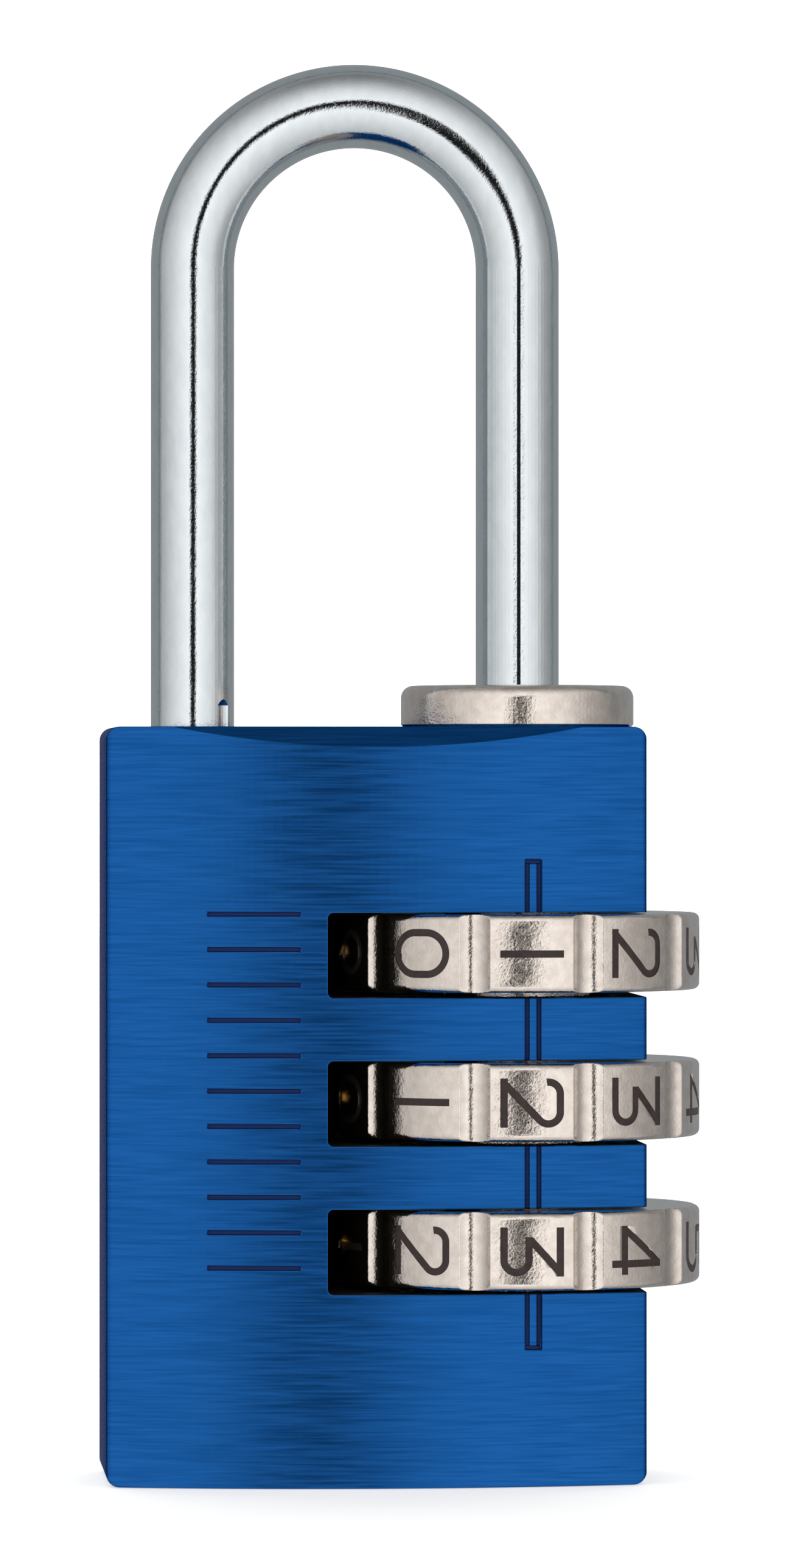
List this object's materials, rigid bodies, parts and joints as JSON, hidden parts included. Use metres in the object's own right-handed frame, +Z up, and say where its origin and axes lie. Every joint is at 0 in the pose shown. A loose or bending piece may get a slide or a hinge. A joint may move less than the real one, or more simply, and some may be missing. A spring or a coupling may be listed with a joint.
{
  "type": "combination padlock",
  "caption": "Small combination padlock with a bowed metal body, steel shackle and numbered side dials that can be reset to a new code.",
  "frame": {"origin": "centre of the body's flat bottom face", "axes": "+Z up along the shackle's legs, front face towards -Y, dials stand out past the +X side"},
  "size_m": [0.0223, 0.0136, 0.0527],
  "materials": {
    "anodised_aluminium": "brushed along X and anodised blue, satin",
    "nickel_plate": "warm bright nickel plate over die-cast zinc, slightly uneven",
    "chromed_steel": "bright chrome plate over drawn steel wire",
    "dark_enamel": "black-brown enamel paint wiped into sunk numerals",
    "brass": "turned brass, bare",
    "spring_steel": "bright drawn spring steel"
  },
  "bodies": {
    "case": {"lock_body": "anodised_aluminium", "top_collar": "nickel_plate", "click_spring_1": "spring_steel", "click_spring_2": "spring_steel", "click_spring_3": "spring_steel", "reset_spring": "spring_steel"},
    "shackle": {"shackle": "chromed_steel", "spindle_foot": "spring_steel"},
    "dial_1": {"dial_1": "nickel_plate", "numerals_1": "dark_enamel"},
    "dial_2": {"dial_2": "nickel_plate", "numerals_2": "dark_enamel"},
    "dial_3": {"dial_3": "nickel_plate", "numerals_3": "dark_enamel"},
    "sleeve_1": {"code_sleeve_1": "brass"},
    "sleeve_2": {"code_sleeve_2": "brass"},
    "sleeve_3": {"code_sleeve_3": "brass"},
    "washer": {"thrust_washer": "spring_steel"},
    "ball_1": {"click_ball_1": "brass"},
    "ball_2": {"click_ball_2": "brass"},
    "ball_3": {"click_ball_3": "brass"}
  },
  "joints": [
    {"name": "shackle_lift", "type": "slide", "parent": "case", "child": "shackle", "axis": [0, 0, 1], "range_m": [0, 0.00545]},
    {"name": "dial_1_spin", "type": "hinge", "parent": "case", "child": "dial_1", "pos_m": [0.0055, 0, 0.01966], "axis": [0, 0, 1], "continuous": true},
    {"name": "dial_2_spin", "type": "hinge", "parent": "case", "child": "dial_2", "pos_m": [0.0055, 0, 0.01421], "axis": [0, 0, 1], "continuous": true},
    {"name": "dial_3_spin", "type": "hinge", "parent": "case", "child": "dial_3", "pos_m": [0.0055, 0, 0.00876], "axis": [0, 0, 1], "continuous": true},
    {"name": "sleeve_1_reset", "type": "slide", "parent": "dial_1", "child": "sleeve_1", "axis": [0, 0, -1], "range_m": [0, 0.001], "stiffness_N_per_m": 400, "springref_m": -0.001},
    {"name": "sleeve_2_reset", "type": "slide", "parent": "dial_2", "child": "sleeve_2", "axis": [0, 0, -1], "range_m": [0, 0.001]},
    {"name": "sleeve_3_reset", "type": "slide", "parent": "dial_3", "child": "sleeve_3", "axis": [0, 0, -1], "range_m": [0, 0.001]},
    {"name": "washer_reset", "type": "slide", "parent": "case", "child": "washer", "axis": [0, 0, -1], "range_m": [0, 0.001], "deforming": ["reset_spring"]},
    {"name": "click_1", "type": "slide", "parent": "case", "child": "ball_1", "axis": [-1, 0, 0], "range_m": [0, 0.0003], "stiffness_N_per_m": 150, "springref_m": -0.0006, "deforming": ["click_spring_1"]},
    {"name": "click_2", "type": "slide", "parent": "case", "child": "ball_2", "axis": [-1, 0, 0], "range_m": [0, 0.0003], "stiffness_N_per_m": 150, "springref_m": -0.0006, "deforming": ["click_spring_2"]},
    {"name": "click_3", "type": "slide", "parent": "case", "child": "ball_3", "axis": [-1, 0, 0], "range_m": [0, 0.0003], "stiffness_N_per_m": 150, "springref_m": -0.0006, "deforming": ["click_spring_3"]}
  ],
  "couplings": [
    {"joint": "sleeve_2_reset", "follows": "sleeve_1_reset", "ratio": 1},
    {"joint": "sleeve_3_reset", "follows": "sleeve_1_reset", "ratio": 1},
    {"joint": "washer_reset", "follows": "sleeve_1_reset", "ratio": 1}
  ]
}
